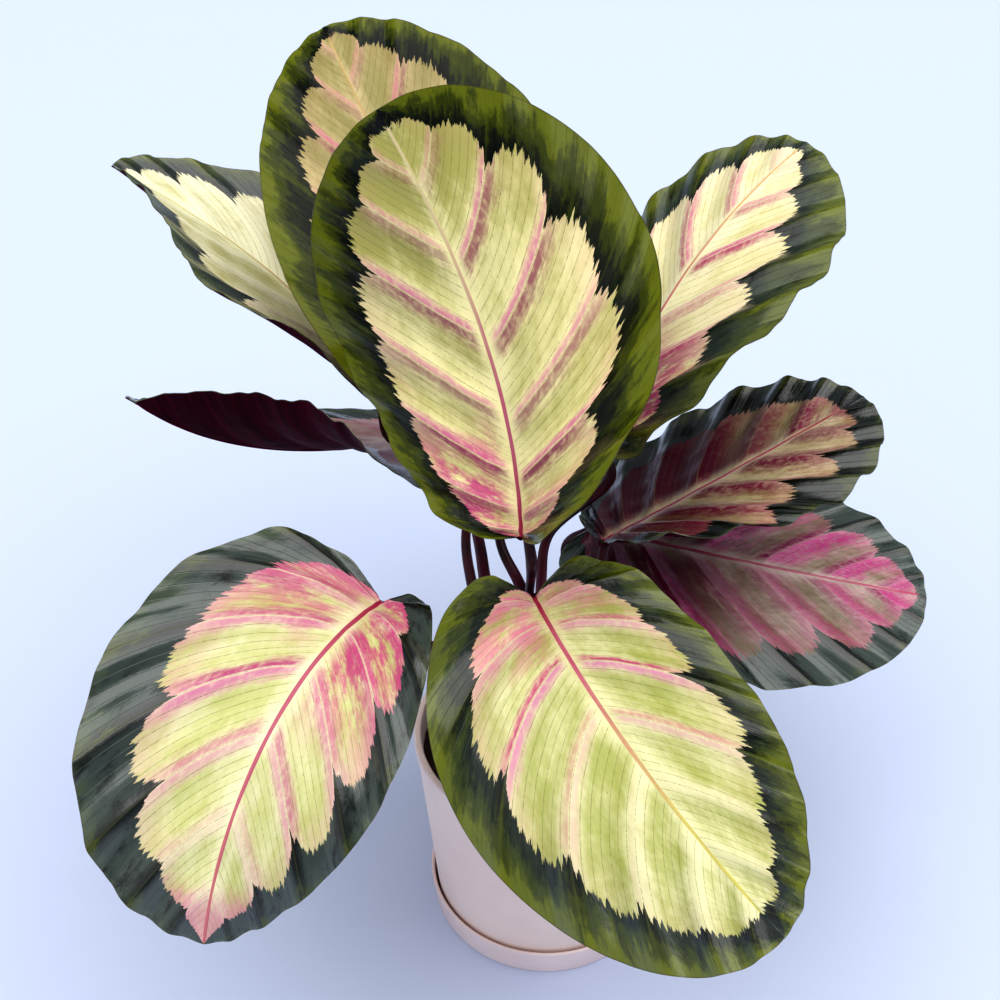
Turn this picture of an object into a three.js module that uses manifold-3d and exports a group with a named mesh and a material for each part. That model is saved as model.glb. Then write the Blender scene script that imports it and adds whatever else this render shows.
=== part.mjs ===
// Potted calathea: nine broad patterned leaves on dark stalks, in a plain tapered pot on a saucer.
// Millimetres, +Z up. The origin is the middle of the saucer's flat underside.
import * as THREE from 'three';
import { mergeVertices } from 'three/addons/utils/BufferGeometryUtils.js';
import Module from 'manifold-3d';

const wasm = await Module();
wasm.setup();

// Pot and saucer
const gap = 0.3; // clearance kept between pieces that touch
const roundSteps = 48; // sides of the turned pieces
const potHeight = 125; // top of the rim above the table
const rimRadius = 70;
const lipThickness = 3.6;
const lipDepth = 9;
const lipFlare = 1.2; // how far the lip stands out from the wall
const edgeRound = 1.3; // how far the edges of the foot and the rim are cut back
const wall = 3;
const potFootRadius = 59.5;
const potFloor = 4;
const drainRadius = 8;
const saucerHeight = 18;
const saucerTopRadius = 64;
const saucerFootRadius = 62;
const saucerWall = 1.8;
const saucerFloor = 2.5;
const saucerEdge = 0.7; // how far the edges of its rim are cut back

// Soil
const soilTop = 111; // height at the wall
const soilMound = 5; // how much higher the middle lies
const moundRings = [1, 0.75, 0.4, 0]; // shares of the soil's radius from the wall to the middle
const footDepth = 22; // how deep a stalk stands in its hole
const holeDepth = 24;
const holeSides = 10;
const holeGap = 0.8; // clearance round a stalk in its hole

// Blades
const bladeThickness = 0.8;
const veinLines = 21; // rows of points from base to tip, three to each band between main veins
const bandCount = 7; // bands between the main side veins on each half, if they were spaced evenly
const bandCrowding = 1.4; // further bands that crowd towards the tip
const crowdingPower = 8; // how close to the tip they do so
const ridgeHeight = 1.5;
const edgeWave = 2.6;
const acrossShares = [0, 0.05, 0.38, 0.72, 1]; // columns from the midrib to the margin
const keelAtBase = 2.4; // depth of the midrib under the blade
const keelAtTip = 0.2;
const ridgeStart = 0.17; // share of the way to the margin over which the ridges rise
const spineSteps = 64; // straight steps that a midrib is reckoned in
const roundness = 0.9; // below 1 the outline is fuller than an ellipse
const tipPoint = 0.02; // how far the tip runs to a point, as a share of the length
const veinStart = 2.6; // above 1 the side veins leave the midrib nearer the base
const veinStraight = 0.6; // share of a side vein's forward run that is straight, the rest bends

// Stalks
const stalkSides = 8;
const stalkSteps = 12;
const stalkTopRadius = 2.2;
const taperEnd = 0.75; // share of the stalk's length over which it tapers
const straightFoot = 5; // how far above the soil a stalk still stands upright
const jointRadius = 2.7; // the swollen joint just under the blade
const jointShare = 0.93; // where along the stalk the joint is thickest
const jointSpread = 0.1; // how far it runs out each way, as a share of the stalk
const jointBend = 10; // the stalk comes in from this far behind and below the blade's base
const stalkTopGap = 1.1; // behind the blade's base
const stalkTopDrop = 3; // under the blade's face

// Each leaf, in millimetres and degrees:
// base is the point where the blade starts, and its midrib has this heading and rise there.
// Towards the tip the midrib droops and sweeps to its left, and the blade rolls and twists about it.
// Both halves fold up from the midrib, curl further up to the margin, and cup at the base.
// Length and width are the blade's own. lobe, fullness and lean are shares: how far the base lobes
// reach back, how much wider the base end is than the tip end, and the left half than the right.
// shift is how many bands the ridges are moved towards the tip, on the left half and the right.
// ruffle, where given, is the share of the margin's full wave.
// The stalk stands at foot on the soil and passes its way points. It comes in below the blade's face
// by the whole bend of its joint, or by the share under where that is given.
const leaves = {
  centre: {
    base: [-15, -22, 268], heading: 95, rise: 59, droop: -2, sweep: 73, roll: -56, twist: -3,
    fold: -4, curl: -5, cup: 33, length: 193, width: 152, lobe: 0.08, fullness: 0.01, lean: -0.09,
    shift: [0.35, 0.17], foot: [-8, 3], footRadius: 4.5, under: 0.15,
    way: [[-11, -3, 212]],
  },
  back_tall: {
    base: [-23, 78, 265], heading: 142, rise: 65, droop: 43, sweep: -30, roll: -11, twist: -11,
    fold: -4, curl: 4, cup: 14, length: 227, width: 156, lobe: 0.12, fullness: 0.16, lean: -0.09,
    shift: [0.77, 0.2], foot: [13, 19], footRadius: 5, ruffle: 0.6,
    way: [[-15, 35, 192], [-25, 50, 208]],
  },
  left_high: {
    base: [-87, 95, 262], heading: 114, rise: 16, droop: -16, sweep: 61, roll: -6, twist: 16,
    fold: 20, curl: 9, cup: 40, length: 207, width: 149, lobe: 0.18, fullness: 0.25, lean: 0.2,
    shift: [0.6, 0.6], foot: [-14, 15], footRadius: 5, ruffle: 0.5,
    way: [[-32, 35, 190], [-36, 46, 212], [-48, 66, 251]],
  },
  left_middle: {
    base: [-35, 128, 238], heading: 178, rise: -31, droop: -83, sweep: 37, roll: 20, twist: 10,
    fold: 20, curl: 1, cup: -45, length: 201, width: 159, lobe: 0.15, fullness: 0.2, lean: 0.15,
    shift: [0.4, 0.6], foot: [-28, 6], footRadius: 4.5, ruffle: 0.4,
    way: [[-38, 50, 164], [-43, 82, 194]],
  },
  left_low: {
    base: [-80, -21, 228], heading: 240, rise: 19, droop: 86, sweep: 7, roll: -2, twist: -22,
    fold: -15, curl: 17, cup: 47, length: 181, width: 137, lobe: 0.05, fullness: 0.05, lean: -0.18,
    shift: [0.5, 0.5], foot: [-17, -14], footRadius: 4, way: [[-44, -14, 180]],
  },
  front_low: {
    base: [-10, -34, 242], heading: 294, rise: -12, droop: -6, sweep: 11, roll: -1, twist: 46,
    fold: 2, curl: -26, cup: 46, length: 182, width: 133, lobe: 0.15, fullness: 0.11, lean: -0.14,
    shift: [0.85, 0.7], foot: [-2, -14], footRadius: 4.5, way: [[-7, -21, 190]],
  },
  right_high: {
    base: [21, 42, 274], heading: 59, rise: 45, droop: 24, sweep: -22, roll: -50, twist: 55,
    fold: -6, curl: -2, cup: -2, length: 190, width: 141, lobe: 0.2, fullness: 0.05, lean: -0.01,
    shift: [0.6, 0.6], foot: [0, 12], footRadius: 4.5,
    way: [[-4.5, 20, 208], [-1, 31, 227]],
  },
  right_middle: {
    base: [25, 14, 237], heading: 26, rise: 14, droop: -4, sweep: -1, roll: -27, twist: 25,
    fold: 2, curl: -3, cup: 9, length: 149, width: 133, lobe: 0.09, fullness: 0.1, lean: 0.02,
    shift: [0.75, 0.7], foot: [9, -3], footRadius: 4, under: 1.3, way: [[11.5, 1, 200]],
  },
  right_low: {
    base: [23, 69, 202.5], heading: -11.5, rise: -8, droop: 3, sweep: 9.5, roll: 8, twist: 17,
    fold: -2, curl: -8, cup: 13, length: 178, width: 137, lobe: 0.32, fullness: 0.1, lean: -0.02,
    shift: [0.55, 0.35], foot: [22, 10], footRadius: 4, under: 1.6, way: [[17, 37, 168]],
  },
};

const colours = {
  saucer: 0xb9a3a2,
  pot: 0xddd0d3,
  soil: 0x2f241c,
  blade: 0x8d9a55,
  stalk: 0x4a0f22,
};

const radians = THREE.MathUtils.degToRad;
const mix = THREE.MathUtils.lerp;

function finish(colour, roughness) {
  return new THREE.MeshStandardMaterial({ color: colour, roughness, metalness: 0 });
}

function meshFrom(name, geometry, colour, roughness) {
  const mesh = new THREE.Mesh(geometry, finish(colour, roughness));
  mesh.name = name;
  return mesh;
}

// The midrib as a row of points, each with its direction and the blade's sideways and face directions.
function spineOf(leaf) {
  const rows = [];
  const step = leaf.length / spineSteps;
  const point = new THREE.Vector3(...leaf.base);
  let lastDirection = null;
  for (let i = 0; i <= spineSteps; i += 1) {
    const share = i / spineSteps;
    const heading = radians(leaf.heading + leaf.sweep * share);
    const rise = radians(leaf.rise - leaf.droop * share);
    const roll = radians(leaf.roll + leaf.twist * share);
    const direction = new THREE.Vector3(
      Math.cos(rise) * Math.cos(heading),
      Math.cos(rise) * Math.sin(heading),
      Math.sin(rise),
    );
    const level = new THREE.Vector3(-Math.sin(heading), Math.cos(heading), 0);
    const side = level.clone().applyAxisAngle(direction, roll);
    const face = direction.clone().cross(side);
    if (lastDirection) {
      point.addScaledVector(direction.clone().add(lastDirection), step / 2);
    }
    lastDirection = direction;
    rows.push({ point: point.clone(), direction, side, face });
  }
  return rows;
}

// The midrib at any share of its length; before 0 and after 1 it runs on straight.
function spineAt(rows, share, length) {
  const inside = THREE.MathUtils.clamp(share, 0, 1);
  const index = Math.min(Math.floor(inside * spineSteps), spineSteps - 1);
  const part = inside * spineSteps - index;
  const blend = (key) => rows[index][key].clone().lerp(rows[index + 1][key], part);
  const direction = blend('direction');
  const point = blend('point').addScaledVector(direction, (share - inside) * length);
  return { point, side: blend('side'), face: blend('face'), inside };
}

// The blade's outline: share of the length and half width where vein line w meets the margin.
function outlineAt(leaf, w, half) {
  const turn = Math.PI * w;
  const lobe = w < 0.5 ? leaf.lobe * Math.sin(turn) * Math.cos(turn) ** 2 : 0;
  const even = (1 - Math.cos(turn)) / 2;
  const along = even - lobe + tipPoint * even ** 14;
  const round = Math.sin(turn) ** roundness * (1 + leaf.fullness * Math.cos(turn));
  return { along, across: (round * leaf.width * (1 + leaf.lean * half)) / 2 };
}

// A point of the blade: w runs from base to tip along the side veins, q from midrib to margin,
// and half is 1 on the leaf's left side and -1 on its right.
function bladePoint(leaf, rows, w, q, half) {
  const edge = outlineAt(leaf, w, half);
  const root = w ** veinStart;
  const along = root + (edge.along - root) * (veinStraight * q + (1 - veinStraight) * q * q);
  const across = edge.across * q;
  const here = spineAt(rows, along, leaf.length);
  const lift = radians(leaf.fold + leaf.cup * (1 - here.inside) ** 3);
  const bend = radians(leaf.curl) / (leaf.width / 2);
  const end = lift + bend * across;
  const flat = (Math.sin(end) - Math.sin(lift)) / bend;
  const height = (Math.cos(lift) - Math.cos(end)) / bend;
  const band = bandCount * w + bandCrowding * w ** crowdingPower - leaf.shift[half > 0 ? 0 : 1];
  const wave = Math.cos(2 * Math.PI * band) * Math.sin(Math.PI * w) ** 0.5;
  const ridge = wave * mix(ridgeHeight, edgeWave * (leaf.ruffle ?? 1), q) * Math.min(q / ridgeStart, 1);
  return here.point.addScaledVector(here.side, half * flat).addScaledVector(here.face, height + ridge);
}

// The blade as a sheet of points and triangles. Both halves share the points of the midrib.
function bladeSheet(leaf) {
  const rows = spineOf(leaf);
  const points = [];
  const pointAt = new Map();
  const place = (half, row, column) => {
    const onMidrib = column === 0 || row === 0 || row === veinLines;
    const key = onMidrib ? `m${row}` : `${half}_${row}_${column}`;
    if (!pointAt.has(key)) {
      const w = row / veinLines;
      const q = onMidrib ? 0 : acrossShares[column];
      pointAt.set(key, points.length);
      points.push({ spot: bladePoint(leaf, rows, w, q, half), onMidrib, w });
    }
    return pointAt.get(key);
  };
  const triangles = [];
  const addTriangle = (a, b, c, half) => {
    if (a !== b && b !== c && c !== a) {
      triangles.push(half > 0 ? [a, b, c] : [a, c, b]);
    }
  };
  const columns = acrossShares.length - 1;
  for (const half of [1, -1]) {
    for (let row = 0; row < veinLines; row += 1) {
      for (let column = 0; column < columns; column += 1) {
        const a = place(half, row, column);
        const b = place(half, row + 1, column);
        const c = place(half, row + 1, column + 1);
        const d = place(half, row, column + 1);
        addTriangle(a, b, c, half);
        addTriangle(a, c, d, half);
      }
    }
  }
  return { points, triangles };
}

// A closed thin solid from a sheet: the sheet moved up and down along its own normals, and a rim.
function thicken(sheet) {
  const { points, triangles } = sheet;
  const normals = points.map(() => new THREE.Vector3());
  for (const [a, b, c] of triangles) {
    const one = points[b].spot.clone().sub(points[a].spot);
    const two = points[c].spot.clone().sub(points[a].spot);
    const normal = one.cross(two);
    [a, b, c].forEach((index) => normals[index].add(normal));
  }
  normals.forEach((normal) => normal.normalize());
  const count = points.length;
  const positions = [];
  points.forEach(({ spot }, index) => {
    positions.push(...spot.clone().addScaledVector(normals[index], bladeThickness / 2).toArray());
  });
  points.forEach(({ spot, onMidrib, w }, index) => {
    const keel = onMidrib ? mix(keelAtBase, keelAtTip, w) : 0;
    positions.push(...spot.clone().addScaledVector(normals[index], -bladeThickness / 2 - keel).toArray());
  });
  const faces = [];
  const edges = new Map();
  for (const [a, b, c] of triangles) {
    faces.push(a, b, c, a + count, c + count, b + count);
    for (const [from, to] of [[a, b], [b, c], [c, a]]) {
      edges.set(`${from}_${to}`, [from, to]);
    }
  }
  for (const [from, to] of edges.values()) {
    if (!edges.has(`${to}_${from}`)) {
      faces.push(from, from + count, to + count, from, to + count, to);
    }
  }
  const geometry = new THREE.BufferGeometry();
  geometry.setAttribute('position', new THREE.Float32BufferAttribute(positions, 3));
  geometry.setIndex(faces);
  return geometry;
}

// A tapered stalk: rings of points along a curve, closed by a fan at each end.
function sweep(curve, radiusAt) {
  const positions = [];
  const faces = [];
  let across = new THREE.Vector3(1, 0, 0);
  for (let step = 0; step <= stalkSteps; step += 1) {
    const share = step / stalkSteps;
    const centre = curve.getPointAt(share);
    const direction = curve.getTangentAt(share);
    across = across.clone().addScaledVector(direction, -across.dot(direction)).normalize();
    const other = direction.clone().cross(across);
    const radius = radiusAt(share);
    for (let side = 0; side < stalkSides; side += 1) {
      const angle = (2 * Math.PI * side) / stalkSides;
      const spot = centre.clone().addScaledVector(across, radius * Math.cos(angle));
      positions.push(...spot.addScaledVector(other, radius * Math.sin(angle)).toArray());
    }
  }
  for (let step = 0; step < stalkSteps; step += 1) {
    for (let side = 0; side < stalkSides; side += 1) {
      const a = step * stalkSides + side;
      const b = step * stalkSides + ((side + 1) % stalkSides);
      faces.push(a, b, b + stalkSides, a, b + stalkSides, a + stalkSides);
    }
  }
  const last = stalkSteps * stalkSides;
  for (let side = 1; side < stalkSides - 1; side += 1) {
    faces.push(0, side + 1, side, last, last + side, last + side + 1);
  }
  const geometry = new THREE.BufferGeometry();
  geometry.setAttribute('position', new THREE.Float32BufferAttribute(positions, 3));
  geometry.setIndex(faces);
  return geometry;
}

// The stalk's middle line: straight up out of its hole, past its way point and into the blade's base.
function stalkCurve(leaf) {
  const { point, direction, face } = spineOf(leaf)[0];
  const end = point.clone().addScaledVector(direction, -stalkTopGap).addScaledVector(face, -stalkTopDrop);
  const before = end.clone()
    .addScaledVector(direction, -jointBend)
    .addScaledVector(face, -jointBend * (leaf.under ?? 1));
  const [x, y] = leaf.foot;
  return new THREE.CatmullRomCurve3([
    new THREE.Vector3(x, y, soilTop - footDepth),
    new THREE.Vector3(x, y, soilTop - footDepth / 2),
    new THREE.Vector3(x, y, soilTop + soilMound + straightFoot),
    ...leaf.way.map((spot) => new THREE.Vector3(...spot)),
    before,
    end,
  ], false, 'centripetal');
}

function stalkRadius(leaf, share) {
  const taper = mix(leaf.footRadius, stalkTopRadius, Math.min(share / taperEnd, 1));
  const joint = Math.max(0, 1 - Math.abs(share - jointShare) / jointSpread);
  return Math.max(taper, mix(stalkTopRadius, jointRadius, joint));
}

// A body turned about the upright axis. A profile that starts on the axis also ends on it,
// and any other profile is closed back to its first point.
function turned(profile) {
  const points = profile.map(([radius, height]) => new THREE.Vector2(radius, height));
  if (profile[0][0] > 0) {
    points.push(points[0].clone());
  }
  return new THREE.LatheGeometry(points, roundSteps).rotateX(Math.PI / 2);
}

// One body with shared corners, and without the flat triangles that stand on the axis.
function welded(geometry) {
  geometry.deleteAttribute('normal');
  geometry.deleteAttribute('uv');
  const merged = mergeVertices(geometry, 1e-4);
  const index = merged.index.array;
  const kept = [];
  for (let i = 0; i < index.length; i += 3) {
    const [a, b, c] = index.slice(i, i + 3);
    if (a !== b && b !== c && c !== a) {
      kept.push(a, b, c);
    }
  }
  merged.setIndex(kept);
  return merged;
}

function solidOf(geometry) {
  const merged = welded(geometry);
  return new wasm.Manifold(new wasm.Mesh({
    numProp: 3,
    vertProperties: new Float32Array(merged.attributes.position.array),
    triVerts: new Uint32Array(merged.index.array),
  }));
}

function geometryOf(solid) {
  const mesh = solid.getMesh();
  const geometry = new THREE.BufferGeometry();
  geometry.setAttribute('position', new THREE.BufferAttribute(mesh.vertProperties, 3));
  geometry.setIndex(new THREE.BufferAttribute(mesh.triVerts, 1));
  return geometry;
}

// A low tray with an almost upright wall that hugs the foot of the pot.
function saucerGeometry() {
  return welded(turned([
    [0, 0],
    [saucerFootRadius - edgeRound, 0],
    [saucerFootRadius, edgeRound],
    [saucerTopRadius, saucerHeight - saucerEdge],
    [saucerTopRadius - saucerEdge, saucerHeight],
    [saucerTopRadius - saucerWall, saucerHeight - saucerEdge],
    [saucerFootRadius - saucerWall, saucerFloor],
    [0, saucerFloor],
  ]));
}

const potBottom = saucerFloor + gap;
const lipBottom = potHeight - lipDepth;

// The pot's outer radius at a height above the table.
function potRadius(height) {
  return mix(potFootRadius, rimRadius - lipFlare, (height - potBottom) / (lipBottom - potBottom));
}

function potGeometry() {
  const lipInside = rimRadius - lipThickness;
  return welded(turned([
    [drainRadius, potBottom],
    [potFootRadius - edgeRound, potBottom],
    [potRadius(potBottom + edgeRound), potBottom + edgeRound],
    [potRadius(lipBottom), lipBottom],
    [rimRadius, lipBottom + edgeRound],
    [rimRadius, potHeight - edgeRound],
    [rimRadius - edgeRound, potHeight],
    [lipInside + edgeRound, potHeight],
    [lipInside, potHeight - edgeRound],
    [potRadius(lipBottom) - wall, lipBottom],
    [potRadius(potBottom + potFloor) - wall, potBottom + potFloor],
    [drainRadius, potBottom + potFloor],
  ]));
}

// Soil fills the pot to just under its lip and has a plain blind hole for each stalk.
function soilGeometry() {
  const bottom = potBottom + potFloor + gap;
  const bottomRadius = potRadius(bottom) - wall - gap;
  const topRadius = potRadius(soilTop) - wall - gap;
  const mound = moundRings.map((ring) => [topRadius * ring, soilTop + soilMound * (1 - ring ** 2)]);
  let soil = solidOf(turned([[0, bottom], [bottomRadius, bottom], ...mound]));
  for (const leaf of Object.values(leaves)) {
    const radius = (leaf.footRadius + holeGap) / Math.cos(Math.PI / holeSides);
    const height = holeDepth + 2 * soilMound;
    const hole = new THREE.CylinderGeometry(radius, radius, height, holeSides);
    hole.rotateX(Math.PI / 2);
    hole.translate(leaf.foot[0], leaf.foot[1], soilTop - holeDepth + height / 2);
    soil = soil.subtract(solidOf(hole));
  }
  return geometryOf(soil);
}

function bladeGeometry(leaf) {
  return thicken(bladeSheet(leaf));
}

function stalkGeometry(leaf) {
  return sweep(stalkCurve(leaf), (share) => stalkRadius(leaf, share));
}

const plant = new THREE.Group();
for (const [name, leaf] of Object.entries(leaves)) {
  plant.add(meshFrom(`blade_${name}`, bladeGeometry(leaf), colours.blade, 0.45));
  plant.add(meshFrom(`stalk_${name}`, stalkGeometry(leaf), colours.stalk, 0.5));
}

const holder = new THREE.Group();
holder.add(meshFrom('saucer', saucerGeometry(), colours.saucer, 0.6));
holder.add(meshFrom('pot', potGeometry(), colours.pot, 0.6));
holder.add(meshFrom('soil', soilGeometry(), colours.soil, 0.95));

const calathea = new THREE.Group();
calathea.add(holder, plant);

export default calathea;
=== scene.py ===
import math
import random

import bpy
import numpy as np
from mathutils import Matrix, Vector


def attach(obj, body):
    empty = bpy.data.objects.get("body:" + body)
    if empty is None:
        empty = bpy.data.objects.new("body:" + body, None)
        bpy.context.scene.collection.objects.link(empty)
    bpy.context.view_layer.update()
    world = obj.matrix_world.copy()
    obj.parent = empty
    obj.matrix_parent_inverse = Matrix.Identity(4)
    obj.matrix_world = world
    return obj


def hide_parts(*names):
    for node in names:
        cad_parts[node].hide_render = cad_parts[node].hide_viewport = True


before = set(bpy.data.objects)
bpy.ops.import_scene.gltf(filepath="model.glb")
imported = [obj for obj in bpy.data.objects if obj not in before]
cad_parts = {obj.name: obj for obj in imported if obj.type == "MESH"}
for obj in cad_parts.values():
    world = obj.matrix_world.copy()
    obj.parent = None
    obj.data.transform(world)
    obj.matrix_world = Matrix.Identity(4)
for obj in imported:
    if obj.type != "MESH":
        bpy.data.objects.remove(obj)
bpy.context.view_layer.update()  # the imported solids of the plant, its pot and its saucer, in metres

mm = 0.001
scene = bpy.context.scene
sharpAngle = 50  # degrees; edges sharper than this aren't smoothed


def mix(first, second, share):
    return first + (second - first) * share


def linear(colour):
    # 0 to 255 as on a screen, to what a shader wants
    shares = [part / 255 for part in colour]
    return tuple(s / 12.92 if s <= 0.04045 else ((s + 0.055) / 1.055) ** 2.4 for s in shares) + (1.0,)


def plug(tree, value, socket):
    # value: an output of a node, a number, or a colour of 0 to 255
    if isinstance(value, Signal):
        tree.links.new(value.socket, socket)
    else:
        socket.default_value = linear(value) if isinstance(value, tuple) else value


class Signal:
    # one output of a material's node, which can be reckoned with like a number
    def __init__(self, tree, socket):
        self.tree = tree
        self.socket = socket

    def maths(self, operation, *others):
        node = self.tree.nodes.new("ShaderNodeMath")
        node.operation = operation
        for value, socket in zip((self, *others), node.inputs):
            plug(self.tree, value, socket)
        return Signal(self.tree, node.outputs[0])

    def __add__(self, other):
        return self.maths("ADD", other)

    def __sub__(self, other):
        return self.maths("SUBTRACT", other)

    def __mul__(self, other):
        return self.maths("MULTIPLY", other)

    def __truediv__(self, other):
        return self.maths("DIVIDE", other)

    def scaled(self, share, more):
        return self * share + more

    def flipped(self):
        # 1 minus this
        return self.scaled(-1.0, 1.0)

    def step(self, low, high):
        # 0 at low and 1 at high, with a smooth rise between; low may be the greater one
        node = self.tree.nodes.new("ShaderNodeMapRange")
        node.interpolation_type = "SMOOTHSTEP"
        for value, name in ((self, "Value"), (low, "From Min"), (high, "From Max")):
            plug(self.tree, value, node.inputs[name])
        return Signal(self.tree, node.outputs[0])

    def eased(self, low, high, share):
        # less by this share at low
        return self.step(low, high).scaled(share, 1 - share)

    def curve(self, points):
        node = self.tree.nodes.new("ShaderNodeFloatCurve")
        line = node.mapping.curves[0]
        line.points[0].location = points[0]
        line.points[1].location = points[-1]
        for spot in points[1:-1]:
            line.points.new(*spot)
        node.mapping.update()
        plug(self.tree, self, node.inputs["Value"])
        return Signal(self.tree, node.outputs[0])


class Finish:
    # one procedural material and short ways to add its nodes
    def __init__(self, name):
        self.material = bpy.data.materials.new(name)
        self.material.use_nodes = True
        self.tree = self.material.node_tree
        self.shader = self.tree.nodes["Principled BSDF"]

    def node(self, kind, output, **inputs):
        node = self.tree.nodes.new("ShaderNode" + kind)
        for name, value in inputs.items():
            plug(self.tree, value, node.inputs[name])
        return Signal(self.tree, node.outputs[output])

    def reading(self, name):
        # a number that the mesh carries
        node = self.tree.nodes.new("ShaderNodeAttribute")
        node.attribute_name = name
        return Signal(self.tree, node.outputs["Fac"])

    def place(self):
        return self.node("TexCoord", "Object")

    def noise(self, where, scale=1.0, detail=2.0, roughness=0.5):
        return self.node("TexNoise", "Fac", Vector=where, Scale=scale, Detail=detail, Roughness=roughness)

    def cells(self, where, scale=1.0):
        return self.node("TexVoronoi", "Distance", Vector=where, Scale=scale)

    def grain(self, side, reach, seed, fineAcross, fineAlong, offset, detail=2.0, roughness=0.5):
        # noise that follows the side veins of a leaf
        where = self.node("CombineXYZ", 0, X=side * fineAcross, Y=reach * fineAlong, Z=seed + offset)
        return self.noise(where, detail=detail, roughness=roughness)

    def chance(self, number):
        # one value between 0 and 1 for each number
        node = self.tree.nodes.new("ShaderNodeTexWhiteNoise")
        node.noise_dimensions = "1D"
        plug(self.tree, number, node.inputs["W"])
        return Signal(self.tree, node.outputs["Value"])

    def mix(self, share, first, second):
        node = self.tree.nodes.new("ShaderNodeMix")
        node.data_type = "RGBA"
        for value, socket in zip((share, first, second), (0, 6, 7)):  # its factor and two colours
            plug(self.tree, value, node.inputs[socket])
        return Signal(self.tree, node.outputs[2])

    def bump(self, height, depth, strength):
        normal = self.node("Bump", "Normal", Strength=strength, Distance=depth, Height=height)
        self.set("Normal", normal)

    def set(self, socket, value):
        plug(self.tree, value, self.shader.inputs[socket])


def grainyFinish(name, s):
    # Two tones, bumps and roughness from two noises. fine, cloud: their scale, detail and roughness.
    # tone, bump, rough: the shares of both in the colour, the bumps and the roughness.
    f = Finish(name)
    spot = f.place()
    fine, cloud = f.noise(spot, *s["fine"]), f.noise(spot, *s["cloud"])
    tone, bump, rough = [fine * s[key][0] + cloud * s[key][1] for key in ("tone", "bump", "rough")]
    f.bump(bump, *s["bumpSize"])
    f.set("Roughness", rough + s["leastRough"])
    return f, f.mix(tone.step(*s["toneRange"]), s["dark"], s["light"]), fine, cloud


def newPiece(name, points, faces, finishes, slots=None, smooth=True):
    mesh = bpy.data.meshes.new(name)
    mesh.from_pydata([tuple(p) for p in points], [], faces)
    for finish in finishes:
        mesh.materials.append(finish.material)
    if slots is not None:
        mesh.polygons.foreach_set("material_index", slots)
    if smooth:
        mesh.shade_smooth()
        mesh.set_sharp_from_angle(angle=math.radians(sharpAngle))
    piece = bpy.data.objects.new(name, mesh)
    scene.collection.objects.link(piece)
    return piece


def carry(piece, name, values):
    # numbers that the mesh carries at each face corner
    layer = piece.data.attributes.new(name, "FLOAT", "CORNER")
    layer.data.foreach_set("value", np.asarray(values, dtype=np.float32))


def own(piece, slotName, *nodes):
    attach(piece, "root")
    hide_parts(*nodes)


def around(sides, side):
    # the cosine and sine of one of so many even steps round a circle
    angle = 2 * math.pi * side / sides
    return math.cos(angle), math.sin(angle)


# camera
cameraSet = dict(
    place=(-0.0251, -0.5047, 0.6482),  # above and in front of the plant
    lookDown=36.7,  # degrees below level
    lens=49.46, sensor=36, near=0.01)


def makeCamera():
    s = cameraSet
    lens = bpy.data.cameras.new("camera")
    lens.lens = s["lens"]
    lens.sensor_width = s["sensor"]
    lens.clip_start = s["near"]
    camera = bpy.data.objects.new("camera", lens)
    camera.location = s["place"]
    camera.rotation_euler = (math.radians(90 - s["lookDown"]), 0, 0)
    scene.collection.objects.link(camera)
    scene.camera = camera


# light
lightSet = dict(
    look="High Contrast", exposure=-0.42, skyColour=(0.80, 0.89, 1), skyStrength=0.36,
    # name: where it comes from, its width in degrees, strength and colour
    suns={
        "above": ((0.1, -0.12, 0.98), 80, 3, (1, 0.985, 0.965)),
        "left": ((-0.78, -0.5, 0.42), 70, 0.45, (1, 0.98, 0.96)),
    })


def makeLight():
    s = lightSet
    world = bpy.data.worlds.new("sky")
    world.use_nodes = True
    sky = world.node_tree.nodes["Background"]
    sky.inputs["Color"].default_value = s["skyColour"] + (1.0,)
    sky.inputs["Strength"].default_value = s["skyStrength"]
    scene.world = world
    for name, (source, width, strength, colour) in s["suns"].items():
        lamp = bpy.data.lights.new(name, "SUN")
        lamp.energy = strength
        lamp.angle = math.radians(width)
        lamp.color = colour
        sun = bpy.data.objects.new(name, lamp)
        sun.rotation_euler = Vector(source).to_track_quat("Z", "Y").to_euler()
        scene.collection.objects.link(sun)
    scene.view_settings.view_transform = "Standard"
    scene.view_settings.look = s["look"]
    scene.view_settings.exposure = s["exposure"]


# floor
floorSet = dict(
    size=60, tint=(206, 215, 238), roughness=0.7)


def makeFloor():
    s = floorSet
    f = Finish("paleFloor")
    f.set("Roughness", s["roughness"])
    f.set("Base Color", s["tint"])
    half = s["size"] / 2
    points = [(-half, -half, 0), (half, -half, 0), (half, half, 0), (-half, half, 0)]
    floor = newPiece("floor", points, [(0, 1, 2, 3)], (f,))


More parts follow.
